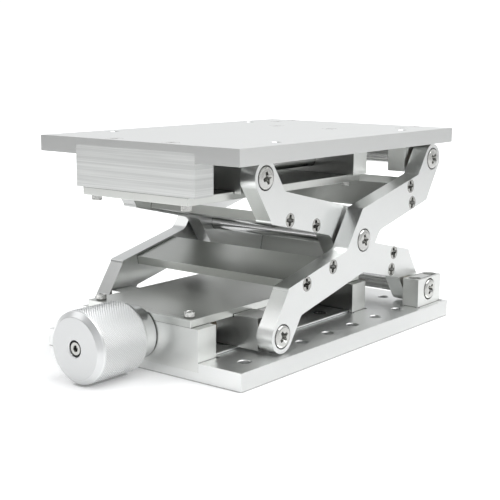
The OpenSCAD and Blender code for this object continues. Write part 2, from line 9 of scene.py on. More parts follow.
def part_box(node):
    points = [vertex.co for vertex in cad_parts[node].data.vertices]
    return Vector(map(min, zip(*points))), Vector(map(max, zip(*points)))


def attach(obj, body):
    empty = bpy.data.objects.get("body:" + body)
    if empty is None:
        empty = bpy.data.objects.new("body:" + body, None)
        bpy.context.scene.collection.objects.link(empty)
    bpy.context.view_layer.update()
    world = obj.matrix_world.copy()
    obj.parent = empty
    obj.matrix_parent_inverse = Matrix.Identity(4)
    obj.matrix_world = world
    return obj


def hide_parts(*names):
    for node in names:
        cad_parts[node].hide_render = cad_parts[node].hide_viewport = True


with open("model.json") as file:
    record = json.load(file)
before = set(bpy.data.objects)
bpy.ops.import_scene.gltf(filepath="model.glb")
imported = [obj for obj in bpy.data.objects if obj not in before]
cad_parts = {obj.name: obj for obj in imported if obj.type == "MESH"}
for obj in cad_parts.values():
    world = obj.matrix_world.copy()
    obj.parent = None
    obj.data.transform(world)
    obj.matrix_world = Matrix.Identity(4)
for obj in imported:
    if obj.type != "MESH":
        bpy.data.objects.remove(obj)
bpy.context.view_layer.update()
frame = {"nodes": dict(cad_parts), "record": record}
NODES = frame["nodes"]
BODIES = frame["record"]["behaviour"]["bodies"]
BODY_OF = {n: b for b, ns in BODIES.items() for n in ns}
SLOT_OF = {s["node"]: s["material_slot"] for s in frame["record"]["subparts"]}
MM = 0.001


# ------------------------------------------------------------------ materials

def _node(nt, kind, x=0, y=0, **inputs):
    n = nt.nodes.new(kind)
    n.location = (x, y)
    for k, v in inputs.items():
        n.inputs[k.replace("_", " ")].default_value = v
    return n


def _noise(nt, coord, scale_xyz, detail=2.0, rough=0.5, distortion=0.0):
    m = _node(nt, "ShaderNodeMapping")
    m.inputs["Scale"].default_value = scale_xyz
    nt.links.new(coord, m.inputs["Vector"])
    n = _node(nt, "ShaderNodeTexNoise")
    n.inputs["Scale"].default_value = 1.0
    n.inputs["Detail"].default_value = detail
    n.inputs["Roughness"].default_value = rough
    n.inputs["Distortion"].default_value = distortion
    nt.links.new(m.outputs["Vector"], n.inputs["Vector"])
    return n.outputs["Fac"]


def _math(nt, op, a, b=None, c=None, clamp=False):
    n = _node(nt, "ShaderNodeMath")
    n.operation = op
    n.use_clamp = clamp
    for i, v in enumerate((a, b, c)):
        if v is None:
            continue
        if isinstance(v, (int, float)):
            n.inputs[i].default_value = v
        else:
            nt.links.new(v, n.inputs[i])
    return n.outputs[0]


def _mix(nt, fac, a, b):
    n = _node(nt, "ShaderNodeMix")
    n.data_type = "RGBA"
    for sock, v in ((n.inputs[0], fac), (n.inputs[6], a), (n.inputs[7], b)):
        if isinstance(v, (int, float)):
            sock.default_value = v
        elif isinstance(v, tuple):
            sock.default_value = (*v, 1.0)
        else:
            nt.links.new(v, sock)
    return n.outputs[2]


def metal(name, color, rough, grain=(60, 2200, 2200), line=0.10, bead=0.05,
          bump=1.0, smudge=0.06, tint=None, edge=0.35, metallic=1.0, radial=None,
          edge_r=0.0004, coat=0.0, facing_light_shade=None, crevice_shade=0.0, crevice_shade_r=0.0006, groove=0.0,
          overhead_view_shade=0.0, top=1.0):
    """A machined metal: broad tone drift, directional tool lines along the axis with
    the low grain value, a fine bead-blasted tooth, smudges, worn bright edges and
    painted shade in crevices. sides: painted light and shade on the front faces and on the right and left faces.
    steep: painted shade on a top face that the camera looks down on. top: painted shade on top faces."""
    mat = bpy.data.materials.new(name)
    mat.use_nodes = True
    nt = mat.node_tree
    b = nt.nodes["Principled BSDF"]
    tc = _node(nt, "ShaderNodeTexCoord")
    co = tc.outputs["Object"]
    drift = _noise(nt, co, (14, 14, 14), 3.0, 0.55)
    cloud = _noise(nt, co, (70, 70, 70), 4.0, 0.6, 0.4)
    if radial is not None:
        # turned faces: rings round the axis through this point, along Y
        m = _node(nt, "ShaderNodeMapping")
        m.inputs["Location"].default_value = (-radial[0], -radial[1], -radial[2])
        nt.links.new(co, m.inputs["Vector"])
        sep = _node(nt, "ShaderNodeSeparateXYZ")
        nt.links.new(m.outputs["Vector"], sep.inputs[0])
        rr = _math(nt, "SQRT", _math(nt, "ADD",
                   _math(nt, "MULTIPLY", sep.outputs[0], sep.outputs[0]),
                   _math(nt, "MULTIPLY", sep.outputs[2], sep.outputs[2])))
        comb = _node(nt, "ShaderNodeCombineXYZ")
        nt.links.new(rr, comb.inputs[0])
        nt.links.new(sep.outputs[1], comb.inputs[1])
        lines = _noise(nt, comb.outputs[0], (3200, 3200, 1), 2.0, 0.6)
    else:
        lines = _noise(nt, co, grain, 2.5, 0.65)
    tooth = _noise(nt, co, (5200, 5200, 5200), 1.0, 0.5)
    lo = tuple(c * 0.955 for c in color)
    hi = tuple(min(1.0, c * 1.03) for c in color)
    if tint:
        hi = tuple(min(1.0, c * 0.5 + t * 0.5) for c, t in zip(hi, tint))
    fac = _math(nt, "ADD", _math(nt, "MULTIPLY", drift, 0.6),
                _math(nt, "MULTIPLY", lines, 0.4), clamp=True)
    tone = _mix(nt, fac, lo, hi)
    # worn, brighter edges where a rounded copy of the surface turns away from the real one
    if edge > 0:
        bev = _node(nt, "ShaderNodeBevel")
        bev.samples = 3
        bev.inputs["Radius"].default_value = edge_r
        geo = _node(nt, "ShaderNodeNewGeometry")
        dot = _node(nt, "ShaderNodeVectorMath")
        dot.operation = "DOT_PRODUCT"
        nt.links.new(bev.outputs["Normal"], dot.inputs[0])
        nt.links.new(geo.outputs["Normal"], dot.inputs[1])
        mask = _math(nt, "MULTIPLY", _math(nt, "SUBTRACT", 1.0, dot.outputs["Value"]), 6.0, clamp=True)
        worn = _math(nt, "MULTIPLY", mask, _math(nt, "ADD", 0.35, cloud), clamp=True)
        tone = _mix(nt, _math(nt, "MULTIPLY", worn, edge), tone, (0.93, 0.93, 0.92))
    # painted light and shade by facing: front faces and right and left faces made brighter or darker
    if facing_light_shade:
        geo2 = _node(nt, "ShaderNodeNewGeometry")
        ns = _node(nt, "ShaderNodeSeparateXYZ")
        nt.links.new(geo2.outputs["Normal"], ns.inputs[0])
        for axis, k in ((1, facing_light_shade[0]), (0, facing_light_shade[1])):
            n1 = _math(nt, "MULTIPLY", ns.outputs[axis], -1.0, clamp=True) if axis == 1 else ns.outputs[axis]
            n2 = _math(nt, "MULTIPLY", n1, n1, clamp=True)
            dim = _node(nt, "ShaderNodeMix")
            dim.data_type = "RGBA"
            dim.blend_type = "MULTIPLY"
            nt.links.new(n2, dim.inputs[0])
            nt.links.new(tone, dim.inputs[6])
            dim.inputs[7].default_value = (k, k, k, 1)
            tone = dim.outputs[2]
        # painted shade: faces turned to the back are a little darker than those turned to the camera
        back_shade_mask = _math(nt, "MULTIPLY", ns.outputs[1], 1.0, clamp=True)
        tone = _mix(nt, _math(nt, "MULTIPLY", back_shade_mask, 0.16), tone, (0.0, 0.0, 0.0))
        nz = _math(nt, "MULTIPLY", ns.outputs[2], 1.0, clamp=True)
        # painted shade on top faces
        if top < 1.0:
            tone = _mix(nt, _math(nt, "MULTIPLY", nz, 1.0 - top), tone, (0.0, 0.0, 0.0))
        # painted shade on top faces that the camera looks down on steeply, only for camera rays
        if overhead_view_shade > 0:
            see = _node(nt, "ShaderNodeVectorMath")
            see.operation = "DOT_PRODUCT"
            nt.links.new(geo2.outputs["Incoming"], see.inputs[0])
            nt.links.new(geo2.outputs["Normal"], see.inputs[1])
            ramp = _math(nt, "MULTIPLY", _math(nt, "SUBTRACT", see.outputs["Value"], 0.42), 2.4, clamp=True)
            first = _node(nt, "ShaderNodeLightPath")
            overhead_shade_mask = _math(nt, "MULTIPLY", _math(nt, "MULTIPLY", ramp, nz), first.outputs["Is Camera Ray"])
            tone = _mix(nt, _math(nt, "MULTIPLY", overhead_shade_mask, overhead_view_shade), tone, (0.0, 0.0, 0.0))
    # painted shade in the knurl grooves
    if groove > 0:
        at = _node(nt, "ShaderNodeAttribute")
        at.attribute_name = "groove"
        tone = _mix(nt, _math(nt, "MULTIPLY", at.outputs["Fac"], groove, clamp=True), tone, (0.10, 0.10, 0.10))
    # painted shade in crevices, seams and screw recesses: darker where ambient occlusion finds surfaces close by
    if crevice_shade > 0:
        ao = _node(nt, "ShaderNodeAmbientOcclusion")
        ao.samples = 4
        ao.inputs["Distance"].default_value = crevice_shade_r
        crevice_shade_mask = _math(nt, "MULTIPLY", _math(nt, "SUBTRACT", 0.93, ao.outputs["AO"]), 2.6, clamp=True)
        tone = _mix(nt, _math(nt, "MULTIPLY", crevice_shade_mask, crevice_shade), tone, (0.02, 0.02, 0.02))
    nt.links.new(tone, b.inputs["Base Color"])
    r = _math(nt, "ADD", rough - 0.5 * (line + smudge) - 0.5 * bead,
              _math(nt, "MULTIPLY", lines, line))
    r = _math(nt, "ADD", r, _math(nt, "MULTIPLY", cloud, smudge))
    r = _math(nt, "ADD", r, _math(nt, "MULTIPLY", tooth, bead), clamp=True)
    nt.links.new(r, b.inputs["Roughness"])
    b.inputs["Metallic"].default_value = metallic
    if coat > 0:
        b.inputs["Coat Weight"].default_value = coat
        b.inputs["Coat Roughness"].default_value = 0.25
    h = _math(nt, "ADD", _math(nt, "MULTIPLY", lines, 0.7 * bump),
              _math(nt, "MULTIPLY", tooth, 0.5 * bump))
    bp = _node(nt, "ShaderNodeBump")
    bp.inputs["Strength"].default_value = 0.22
    bp.inputs["Distance"].default_value = 0.00003
    nt.links.new(h, bp.inputs["Height"])
    nt.links.new(bp.outputs["Normal"], b.inputs["Normal"])
    return mat


ALU = (0.80, 0.81, 0.80)
# painted shade in seams and crevices, and on top faces seen from above
SEAM = dict(crevice_shade=0.8, crevice_shade_r=0.0006, overhead_view_shade=0.66)
M = {
    "anodised_plate": metal("anodised_plate", ALU, 0.30, (50, 1500, 1500), 0.05, 0.05, 1.0, 0.05, **SEAM),
    # base plate: its paler colour is painted light from the reflected floor; right and left faces get painted shade
    "base_plate_light_shade": metal("base_plate_light_shade", (0.93, 0.94, 0.93), 0.36, (50, 1500, 1500), 0.05, 0.05, 1.0, 0.05, facing_light_shade=(0.95, 0.80), **SEAM),
    # platform plate: painted shade on its front, right and left faces
    "platform_plate_shade": metal("platform_plate_shade", (0.82, 0.83, 0.82), 0.30, (50, 1500, 1500), 0.05, 0.05, 1.0, 0.05, facing_light_shade=(0.76, 0.91), **SEAM),
    # guide plate: painted light on its right and left faces
    "guide_plate": metal("guide_plate", (0.80, 0.81, 0.80), 0.30, (1500, 40, 1500), 0.06, 0.05, 1.0, 0.05, facing_light_shade=(1.0, 1.2), **SEAM),
    # rear block: heavy painted shade on its front face, lighter painted shade on its right and left faces
    "rear_block_shade": metal("rear_block_shade", (0.80, 0.81, 0.79), 0.33, (30, 900, 900), 0.08, 0.05, 1.2, 0.05, facing_light_shade=(0.42, 0.86), **SEAM),
    # upper rear block: painted shade on its front face
    "upper_rear_block_shade": metal("upper_rear_block_shade", (0.80, 0.81, 0.79), 0.33, (30, 900, 900), 0.08, 0.05, 1.2, 0.05, facing_light_shade=(0.70, 1.0), **SEAM),
    # cover: its dark colour is painted shade from the dark underside it reflects; front, right and left faces get
    # painted light
    "anodised_cover": metal("anodised_cover", (0.56, 0.57, 0.55), 0.30, (1500, 40, 1500), 0.07, 0.05, 1.0, 0.06, facing_light_shade=(1.27, 1.3), **SEAM),
    # blocks: painted shade on the right and left faces and on top faces
    "anodised_block": metal("anodised_block", (0.83, 0.84, 0.82), 0.33, (30, 900, 900), 0.08, 0.05, 1.2, 0.05, facing_light_shade=(1.0, 0.95), top=0.85, **SEAM),
    # slide block: broad painted shade, darker wherever other parts lie within 12 mm
    "slide_block": metal("slide_block", (0.90, 0.91, 0.89), 0.33, (30, 900, 900), 0.08, 0.05, 1.2, 0.05, facing_light_shade=(1.0, 1.0), crevice_shade=0.8, crevice_shade_r=0.012),
    # arms: painted light on the front faces
    "anodised_arm": metal("anodised_arm", (0.80, 0.81, 0.80), 0.31, (1200, 900, 900), 0.05, 0.06, 1.0, 0.05, facing_light_shade=(1.16, 1.0), crevice_shade=0.7, crevice_shade_r=0.0005),
    # left arms: painted shade on the front faces
    "arm_left": metal("arm_left", (0.78, 0.79, 0.78), 0.31, (1200, 900, 900), 0.05, 0.06, 1.0, 0.05, facing_light_shade=(0.48, 1.0), crevice_shade=0.7, crevice_shade_r=0.0005),
    # cross plates: their darker colour is painted shade under the platform; front faces get painted light
    "anodised_cross_plate": metal("anodised_cross_plate", (0.46, 0.47, 0.45), 0.31, (40, 1500, 1500), 0.07, 0.05, 1.0, 0.06, facing_light_shade=(1.15, 1.0), **SEAM),
    # knob: painted shade on the front face and in the knurl grooves
    "knob_aluminium": metal("knob_aluminium", (0.88, 0.89, 0.89), 0.31, bead=0.08, line=0.05, smudge=0.05, edge=0.2,
                            radial=(0, 0, 0.0193), edge_r=0.0002, groove=0.38, facing_light_shade=(0.62, 1.0)),
    "ground_steel": metal("ground_steel", (0.60, 0.60, 0.60), 0.14, (2500, 120, 2500), 0.10, 0.02, 0.6, 0.05, edge=0.0),
    # screws: painted shade in the recesses and round the heads
    "nickel_screw": metal("nickel_screw", (0.62, 0.62, 0.60), 0.16, (900, 900, 900), 0.06, 0.03, 0.6, 0.08, edge=0.0, crevice_shade=1.0, crevice_shade_r=0.0012),
    # top screws: a paler copy of the screw steel with less recess shade, painted light so they read as bright dots
    "top_screw": metal("top_screw", (0.80, 0.80, 0.79), 0.28, (900, 900, 900), 0.06, 0.03, 0.6, 0.08, edge=0.0, crevice_shade=0.35, crevice_shade_r=0.0006),
    "cap_steel": metal("cap_steel", (0.66, 0.66, 0.64), 0.20, (900, 900, 900), 0.06, 0.03, 0.6, 0.08, edge=0.0, crevice_shade=0.7, crevice_shade_r=0.0008),
    "steel_screw": metal("steel_screw", (0.46, 0.46, 0.44), 0.20, (900, 900, 900), 0.08, 0.04, 0.8, 0.08, edge=0.0, crevice_shade=1.0, crevice_shade_r=0.0014),
    "bronze_bush": metal("bronze_bush", (0.34, 0.29, 0.22), 0.36, (900, 900, 900), 0.08, 0.08, 1.0, 0.08, edge=0.1),
}


def sawn_block():
    """The upper front block: sawn stock, with long pale and dark streaks across it."""
    mat = metal("sawn_block", (0.77, 0.78, 0.77), 0.40, (18, 600, 1100), 0.16, 0.05, 2.2, 0.04, facing_light_shade=(1.0, 1.0), **SEAM)
    nt = mat.node_tree
    b = nt.nodes["Principled BSDF"]
    co = next(n for n in nt.nodes if n.type == "TEX_COORD").outputs["Object"]
    streak = _noise(nt, co, (5, 5, 680), 3.0, 0.8)
    old = b.inputs["Base Color"].links[0].from_socket
    ramp = _math(nt, "MULTIPLY", _math(nt, "SUBTRACT", streak, 0.42), 4.5, clamp=True)
    dark = _mix(nt, 0.5, old, (0.48, 0.49, 0.48))
    nt.links.new(_mix(nt, ramp, dark, old), b.inputs["Base Color"])
    return mat


M["sawn_block"] = sawn_block()


# ------------------------------------------------------------------ CAD nodes

def dress(node, width=0.3, segs=2, mat=None, angle=32):
    """Keeps a CAD node, broken edges and all: joined faces, small chamfers, true shading."""
    o = NODES[node]
    me = o.data
    for a in ("custom_normal",):
        if a in me.attributes:
            me.attributes.remove(me.attributes[a])
    me.polygons.foreach_set("use_smooth", [True] * len(me.polygons))
    me.materials.clear()
    me.materials.append(mat or M[SLOT_OF[node]])
    w = o.modifiers.new("join", "WELD")
    w.merge_threshold = 2e-6
    if width > 0:
        bv = o.modifiers.new("edges", "BEVEL")
        bv.width = width * MM
        bv.segments = segs
        bv.limit_method = "ANGLE"
        bv.angle_limit = math.radians(angle)
        bv.harden_normals = True
        bv.use_clamp_overlap = True
        bv.miter_outer = "MITER_SHARP"
    else:
        wn = o.modifiers.new("shade", "WEIGHTED_NORMAL")
        wn.keep_sharp = True


def parts_of(node):
    """The separate solids of a CAD node as (low corner, high corner), in the row frame."""
    me = NODES[node].data
    key, ids = {}, []
    for v in me.vertices:
        k = tuple(round(c * 2e5) for c in v.co)
        ids.append(key.setdefault(k, len(key)))
    up = list(range(len(key)))

    def find(a):
        while up[a] != a:
            up[a] = up[up[a]]
            a = up[a]
        return a

    for p in me.polygons:
        vs = [find(ids[i]) for i in p.vertices]
        for q in vs[1:]:
            up[find(q)] = find(vs[0])
    out = {}
    for v, i in zip(me.vertices, ids):
        out.setdefault(find(i), []).append(v.co)
    boxes = []
    for vs in out.values():
        lo = Vector([min(c[k] for c in vs) for k in range(3)])
        hi = Vector([max(c[k] for c in vs) for k in range(3)])
        boxes.append((lo, hi))
    boxes.sort(key=lambda b: tuple(round(c, 5) for c in (b[0] + b[1])))
    return boxes


# ------------------------------------------------------------------ mesh makers

def lathe(profile, segs=72, ridge=None):
    """A closed solid of revolution about +Z. profile is a list of (radius, z), from the
    axis at one end to the axis at the other. ridge(i, theta) scales a ring's radius."""
    bm = bmesh.new()
    rings = []
    for i, (r, z) in enumerate(profile):
        if r <= 1e-9:
            rings.append([bm.verts.new((0, 0, z))])
        else:
            ring = []
            for k in range(segs):
                t = 2 * math.pi * k / segs
                s = r + (ridge(i, t) if ridge else 0.0)
                ring.append(bm.verts.new((s * math.cos(t), s * math.sin(t), z)))
            rings.append(ring)
    for a, b in zip(rings, rings[1:]):
        for k in range(segs):
            n = (k + 1) % segs
            if len(a) == 1 and len(b) == 1:
                continue
            if len(a) == 1:
                bm.faces.new((a[0], b[k], b[n]))
            elif len(b) == 1:
                bm.faces.new((a[k], b[0], a[n]))
            else:
                bm.faces.new((a[k], b[k], b[n], a[n]))
    bmesh.ops.recalc_face_normals(bm, faces=bm.faces)
    return bm


def to_mesh(bm, name):
    me = bpy.data.meshes.new(name)
    bm.to_mesh(me)
    bm.free()
    return me


def frusta(sections, name):
    """A closed solid through polygons of equal count, each a list of (x, y, z)."""
    bm = bmesh.new()
    rings = [[bm.verts.new(p) for p in s] for s in sections]
    n = len(rings[0])
    for a, b in zip(rings, rings[1:]):
        for k in range(n):
            bm.faces.new((a[k], a[(k + 1) % n], b[(k + 1) % n], b[k]))
    bm.faces.new(rings[0])
    bm.faces.new(rings[-1])
    bmesh.ops.recalc_face_normals(bm, faces=bm.faces)
    return to_mesh(bm, name)


def cross_ring(a, t, z, c):
    pts = []
    for q in range(4):
        ca, sa = math.cos(q * math.pi / 2), math.sin(q * math.pi / 2)
        for x, y in ((a, -t), (a, t), (c, c)):
            pts.append((x * ca - y * sa, x * sa + y * ca, z))
    return pts


def phillips(w, top):
    """Cutter for a cross recess w wide, from above z = top downwards."""
    d = w * 0.46
    return frusta([
        cross_ring(w * 0.50, w * 0.125, top + 1.0, w * 0.195),
        cross_ring(w * 0.50, w * 0.122, top - 0.02, w * 0.190),
        cross_ring(w * 0.36, w * 0.100, top - d * 0.62, w * 0.140),
        cross_ring(w * 0.22, w * 0.070, top - d, w * 0.09),
    ], "cutter")


def hexagon(s, top, depth):
    r = s / math.sqrt(3)
    ring = lambda q, z: [(q * math.cos(k * math.pi / 3), q * math.sin(k * math.pi / 3), z) for k in range(6)]
    return frusta([ring(r + 1.3, top + 1.1), ring(r + 0.18, top - 0.02), ring(r, top - 0.22),
                   ring(r, top - depth), ring(r * 0.25, top - depth - r * 0.4)], "cutter")


def carve(body_mesh, cutter_mesh, turn=0.0):
    a = bpy.data.objects.new("tmp_a", body_mesh)
    c = bpy.data.objects.new("tmp_c", cutter_mesh)
    c.rotation_euler = (0, 0, turn)
    for o in (a, c):
        bpy.context.scene.collection.objects.link(o)
    mod = a.modifiers.new("cut", "BOOLEAN")
    mod.operation = "DIFFERENCE"
    mod.solver = "EXACT"
    mod.object = c
    bpy.context.view_layer.update()
    dg = bpy.context.evaluated_depsgraph_get()
    me = bpy.data.meshes.new_from_object(a.evaluated_get(dg))
    bpy.data.objects.remove(a)
    bpy.data.objects.remove(c)
    return me


def gather(name, node, items, mat, sharp=34):
    """One piece out of copies of meshes: items are (mesh, matrix). It stands for the CAD node."""
    bm = bmesh.new()
    for me, mw in items:
        start = len(bm.verts)
        bm.from_mesh(me)
        bm.verts.ensure_lookup_table()
        for v in bm.verts[start:]:
            v.co = mw @ v.co
    bmesh.ops.recalc_face_normals(bm, faces=bm.faces)
    me = to_mesh(bm, name)
    me.polygons.foreach_set("use_smooth", [True] * len(me.polygons))
    me.set_sharp_from_angle(angle=math.radians(sharp))
    me.materials.clear()
    me.materials.append(mat)
    o = bpy.data.objects.new(name, me)
    bpy.context.scene.collection.objects.link(o)
    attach(o, BODY_OF[node])
    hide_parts(node)
    return o


def arc(r, cx, cz, a0, a1, n):
    return [(cx + r * math.cos(math.radians(a0 + (a1 - a0) * i / n)),
             cz + r * math.sin(math.radians(a0 + (a1 - a0) * i / n))) for i in range(n + 1)]


def shank(r, z0, z1, pitch, lead=0.45):
    """Profile points for a ringed thread, from z0 (tip) up to z1."""
    pts = [(0, z0), (r - lead, z0), (r - 0.08, z0 + lead)]
    z = z0 + lead + pitch * 0.5
    while z + pitch < z1 - 0.4:
        pts += [(r, z), (r - pitch * 0.5, z + pitch * 0.5)]
        z += pitch
    pts += [(r, z)]
    return pts


def frame_to(origin, axis, turn=0.0):
    """Matrix that puts +Z along axis at origin, in metres, for a mesh made in millimetres."""
    q = Vector((0, 0, 1)).rotation_difference(Vector(axis).normalized())
    return Matrix.Translation(origin) @ q.to_matrix().to_4x4() @ Matrix.Rotation(turn, 4, "Z") @ Matrix.Scale(MM, 4)


# ------------------------------------------------------------------ screws

def pivot_mesh(length, shoulder):
    """Shoulder screw, head underside at z = 0, millimetres; length is thread tip to head."""
    head = [(4.0, 0.0), (5.9, 0.0), (6.2, 0.3), (6.2, 1.9)] + arc(1.7, 4.5, 2.0, 0, 78, 6)[1:] + \
           [(3.2, 3.72), (1.6, 3.74), (0, 3.74)]
    thr = shank(2.95, -length, -shoulder - 0.3, 0.8)
    prof = thr + [(2.7, -shoulder - 0.25), (3.7, -shoulder), (4.0, -shoulder + 0.3)] + head
    return to_mesh(lathe(prof, 72), "pivot")


def csk_mesh(r, hr, length):
    prof = shank(r, -length, -(hr - r) - 0.6, 0.7) + \
        [(r - 0.1, -(hr - r) - 0.45), (r, -(hr - r) - 0.35), (hr - 0.05, -0.36), (hr, -0.3), (hr, -0.06),
         (hr - 0.07, -0.01), (hr * 0.6, -0.005), (0, 0)]
    return to_mesh(lathe(prof, 64), "csk")


def cap_mesh(r, length, hr, hh):
    n = 34
    prof = shank(r, -length, -0.6, 0.5 if r < 1.7 else 0.7) + [(r, -0.5), (r, 0.0)] + \
        [(hr - 0.25, 0.0), (hr - 0.02, 0.22), (hr - 0.02, hh * 0.5), (hr - 0.02, hh - 0.55), (hr - 0.05, hh - 0.4)] + \
        arc(0.32, hr - 0.38, hh - 0.33, 10, 90, 5) + [(hr * 0.5, hh), (0, hh)]
    first = len(prof) - 6 - 2 - 5
    rows = {i for i, p in enumerate(prof) if abs(p[0] - (hr - 0.02)) < 1e-6}
    return to_mesh(lathe(prof, n * 4, lambda i, t: -0.05 * (1 - math.cos(n * t)) if i in rows else 0.0), "cap")


def turn_of(i, base=0.35, step=0.83):
    return (base + step * i) % (math.pi / 2)


PAN = {}


def pan(length, shoulder, w=6.9):
    k = (round(length, 2), round(shoulder, 2))
    if k not in PAN:
        PAN[k] = carve(pivot_mesh(length, shoulder), phillips(w, 3.74))
    return PAN[k]


def pivots(node, turns, thread=8.8):
    items = []
    for i, (lo, hi) in enumerate(parts_of(node)):
        c = (lo + hi) / 2
        right = c.x > 0
        outer, inner = (hi.x, lo.x) if right else (lo.x, hi.x)
        total = abs(outer - inner) / MM
        me = pan(total - 3.7, total - 3.7 - thread)
        seat = outer + (-3.7 if right else 3.7) * MM
        items.append((me, frame_to((seat, c.y, c.z), (1 if right else -1, 0, 0), turns[i % len(turns)])))
    gather(node + "_detailed", node, items, M["nickel_screw"])


pivots("lower_slide_pivots", (0.5, 0.62))
pivots("centre_pivots", (1.1, 0.30), 19)
pivots("base_pivots", (0.2, 0.95), 19)
pivots("upper_slide_pivots", (0.4, 0.28))
pivots("platform_pivots", (0.8, 0.95), 19)


def countersunk(node, r, hr, w, axis, base=0.35, mat=None):
    """axis: 'x' points outwards on both sides, otherwise the outward direction of the head."""
    items, cut = [], {}
    for i, (lo, hi) in enumerate(parts_of(node)):
        c = (lo + hi) / 2
        if axis == "x":
            right = c.x > 0
            d = Vector((1 if right else -1, 0, 0))
            length = (hi.x - lo.x) / MM
            at = Vector((hi.x if right else lo.x, c.y, c.z))
        else:
            d = Vector(axis)
            length = (hi.z - lo.z) / MM
            at = Vector((c.x, c.y, hi.z if d.z > 0 else lo.z))
        k = round(length, 2)
        if k not in cut:
            cut[k] = carve(csk_mesh(r, hr, length), phillips(w, 0.0))
        turn = 0.16 * math.sin(3.1 * i + 9 * base) if axis == "x" else turn_of(i, base)
        items.append((cut[k], frame_to(at, d, turn)))
    gather(node + "_detailed", node, items, mat or M["steel_screw"])


countersunk("outer_cross_plate_screws", 1.9, 3.9, 6.3, "x", 0.15)
countersunk("inner_cross_plate_screws", 1.9, 3.9, 6.3, "x", 0.55)
countersunk("lower_block_screws", 2.4, 4.6, 5.8, (0, 0, -1))
countersunk("upper_block_screws", 2.4, 4.6, 5.8, (0, 0, 1), mat=M["top_screw"])
countersunk("platform_bracket_screws", 1.9, 3.8, 4.8, (0, 0, 1), mat=M["top_screw"])
countersunk("lower_guide_screws", 1.9, 3.8, 4.8, (0, 0, 1))
countersunk("upper_guide_screws", 1.9, 3.8, 4.8, (0, 0, -1))


def caps(node, r, hr, hh, hexs, axis, mat=None):
    items, cut = [], {}
    d = Vector(axis)
    k = max(range(3), key=lambda i: abs(d[i]))
    for i, (lo, hi) in enumerate(parts_of(node)):
        c = (lo + hi) / 2
        length = (hi[k] - lo[k]) / MM - hh
        at = c.copy()
        at[k] = hi[k] - hh * MM if d[k] > 0 else lo[k] + hh * MM
        q = round(length, 2)
        if q not in cut:
            cut[q] = carve(cap_mesh(r, length, hr, hh), hexagon(hexs, hh, hh * 0.52))
        items.append((cut[q], frame_to(at, d, turn_of(i, 0.3, 0.47))))
    gather(node + "_detailed", node, items, mat or M["steel_screw"])


caps("lower_cover_screws", 1.45, 2.75, 3.0, 2.5, (0, 0, 1), M["cap_steel"])
caps("upper_cover_screws", 1.45, 2.75, 3.0, 2.5, (0, 0, -1), M["cap_steel"])
caps("base_bracket_screws", 1.9, 3.5, 4.0, 3.0, (0, 0, 1))
caps("lead_nut_screws", 1.4, 2.75, 3.0, 2.5, (0, 1, 0))
caps("knob_screw", 1.9, 3.5, 4.0, 3.0, (0, -1, 0))


# ------------------------------------------------------------------ knob

def knob():
    lo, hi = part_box("knob")
    axis_x, axis_z = (lo.x + hi.x) / 2, (lo.z + hi.z) / 2
    r = (hi.x - lo.x) / 2 / MM
    length = (hi.y - lo.y) / MM
    diamonds, per = 96, 7
    n = diamonds * per
    pitch = 2 * math.pi * r / diamonds
    g0, g1 = 2.9, length - 10.5 - 1.6
    rows = int(round((g1 - g0) / (pitch / per)))
    depth = 0.38
    bore, cbore = 3.02, 4.3
    head = [(bore, 7.5), (2.3, 7.5), (2.2, 7.3), (2.2, 4.6), (2.3, 4.5), (cbore - 0.02, 4.5), (cbore, 4.4),
            (cbore, 0.35), (cbore + 0.3, 0.0),
            (cbore + 0.5, 0.0), (9.0, 0.0), (r - 3.25, 0.0), (r - 3.12, 0.0), (r - 2.95, 0.07), (r - 2.82, 0.2), (r - 2.70, 0.303),
            (r - 0.67, 2.047), (r - 0.55, 2.15), (r - 0.38, 2.45), (r - 0.33, 2.7)]
    tail_r = 14.3
    y1 = length - 10.5
    tail = [(r - 0.33, y1 - 1.35), (r - 0.45, y1 - 1.1), (r - 0.9, y1 - 0.35), (r - 1.2, y1 - 0.05), (r - 1.6, y1),
            (tail_r + 0.35, y1), (tail_r + 0.05, y1 + 0.1), (tail_r, y1 + 0.4),
            (tail_r, length - 0.6), (tail_r - 0.15, length - 0.2), (tail_r - 0.5, length), (bore + 0.3, length), (bore, length - 0.3)]
    rings = [(p, None) for p in head]
    for i in range(rows + 1):
        y = g0 + (g1 - g0) * i / rows
        rings.append(((r, y), i))
    rings += [(p, None) for p in tail]

    def cut(u):
        u = u - math.floor(u)
        return abs(2 * u - 1)  # 1 in the groove, 0 on the crest

    bm = bmesh.new()
    # groove: how deep each vertex lies in a knurl groove, used for painted shade in the grooves
    deep = bm.verts.layers.float.new("groove")
    verts = []
    for (rad, y), i in rings:
        ring = []
        for k in range(n):
            t = 2 * math.pi * k / n
            q = rad
            if i is not None:
                ends = min(1.0, min(i, rows - i) / 5.0)
                a = k / per + y / pitch
                b = k / per - y / pitch
                g = max(cut(a), cut(b))
                q = r - 0.05 - depth * (g * g) * ends - 0.28 * (1 - ends)
            v = bm.verts.new((axis_x + q * math.sin(t) * MM, lo.y + y * MM, axis_z + q * math.cos(t) * MM))
            v[deep] = max(0.0, (g - 0.45) / 0.55) * ends if i is not None else 0.0
            ring.append(v)
        verts.append(ring)
    for a, b in zip(verts, verts[1:]):
        for k in range(n):
            m = (k + 1) % n
            bm.faces.new((a[k], a[m], b[m], b[k]))
    a, b = verts[-1], verts[0]
    for k in range(n):
        m = (k + 1) % n
        bm.faces.new((a[k], a[m], b[m], b[k]))
    bmesh.ops.recalc_face_normals(bm, faces=bm.faces)
    me = to_mesh(bm, "knob_knurled")
    me.polygons.foreach_set("use_smooth", [True] * len(me.polygons))
    me.set_sharp_from_angle(angle=math.radians(50))
    me.materials.append(M["knob_aluminium"])
    o = bpy.data.objects.new("knob_knurled", me)
    bpy.context.scene.collection.objects.link(o)
    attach(o, "lead")
    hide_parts("knob")


knob()


# ------------------------------------------------------------------ lead screw

